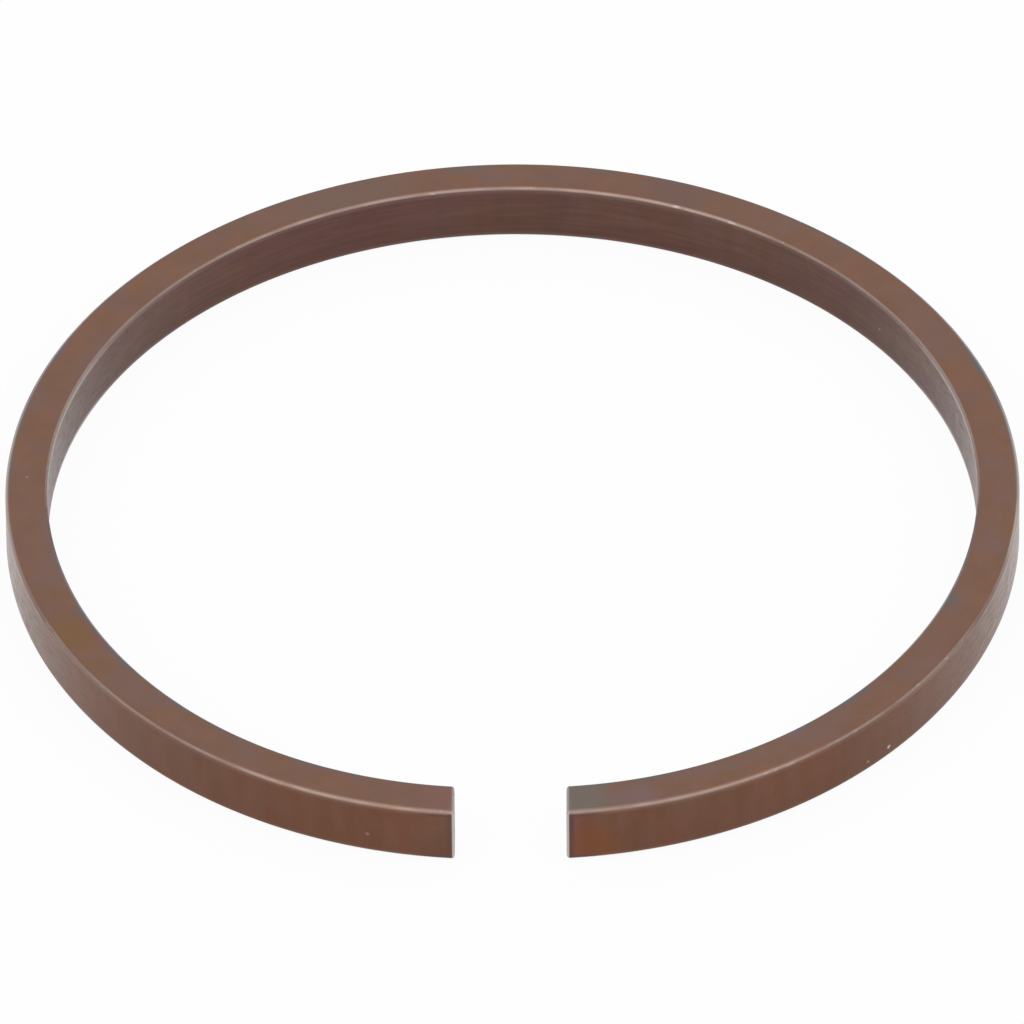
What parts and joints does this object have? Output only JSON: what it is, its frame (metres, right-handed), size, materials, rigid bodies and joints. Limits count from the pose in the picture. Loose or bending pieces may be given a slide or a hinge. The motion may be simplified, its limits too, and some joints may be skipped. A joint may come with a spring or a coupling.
{
  "type": "piston ring",
  "caption": "Split spring-steel compression ring with a straight gap and broken edges, which seals a round piston or shaft in its bore.",
  "frame": {"origin": "on the ring's axis, half-way up its width", "axes": "+Z along the ring's axis; the gap faces -Y"},
  "size_m": [0.025, 0.0248, 0.0016],
  "materials": {
    "browned_steel": "ground, then heat-browned, satin"
  },
  "bodies": {
    "root": {"piston_ring": "browned_steel"}
  },
  "joints": []
}
